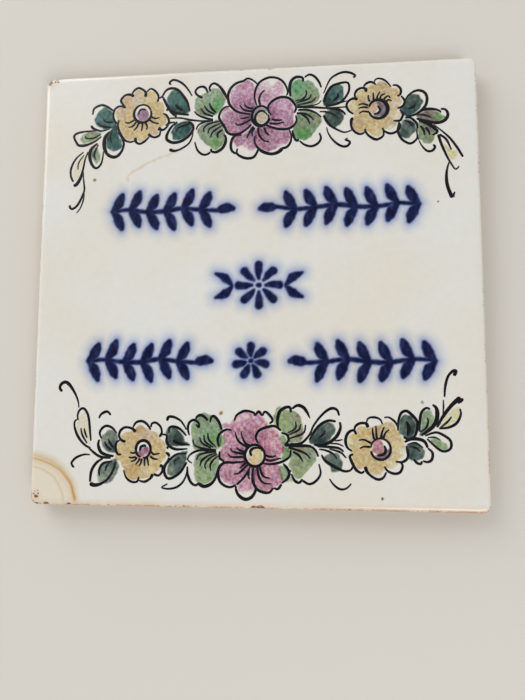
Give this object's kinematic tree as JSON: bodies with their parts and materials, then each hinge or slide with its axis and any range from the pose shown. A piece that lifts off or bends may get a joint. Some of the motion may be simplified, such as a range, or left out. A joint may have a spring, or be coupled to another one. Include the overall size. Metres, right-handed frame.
{
  "type": "ceramic wall plaque",
  "caption": "Square glazed earthenware wall plaque with a rolled front edge, rounded corners and a flat bare back for fixing to a wall.",
  "frame": {"origin": "centre of the flat back face", "axes": "+X across the face to the right, +Y up the picture, +Z out of the painted face"},
  "size_m": [0.15, 0.15, 0.007],
  "materials": {
    "white_glaze": "glossy opaque white glaze over a cream earthenware body, bare on the back",
    "garland_paint": "brushed ceramic colours fired into the glaze: rose, ochre, greens and a near-black line",
    "cobalt_paint": "cobalt blue brushwork, bled softly into the glaze"
  },
  "bodies": {
    "root": {"plaque": "white_glaze"}
  },
  "joints": []
}
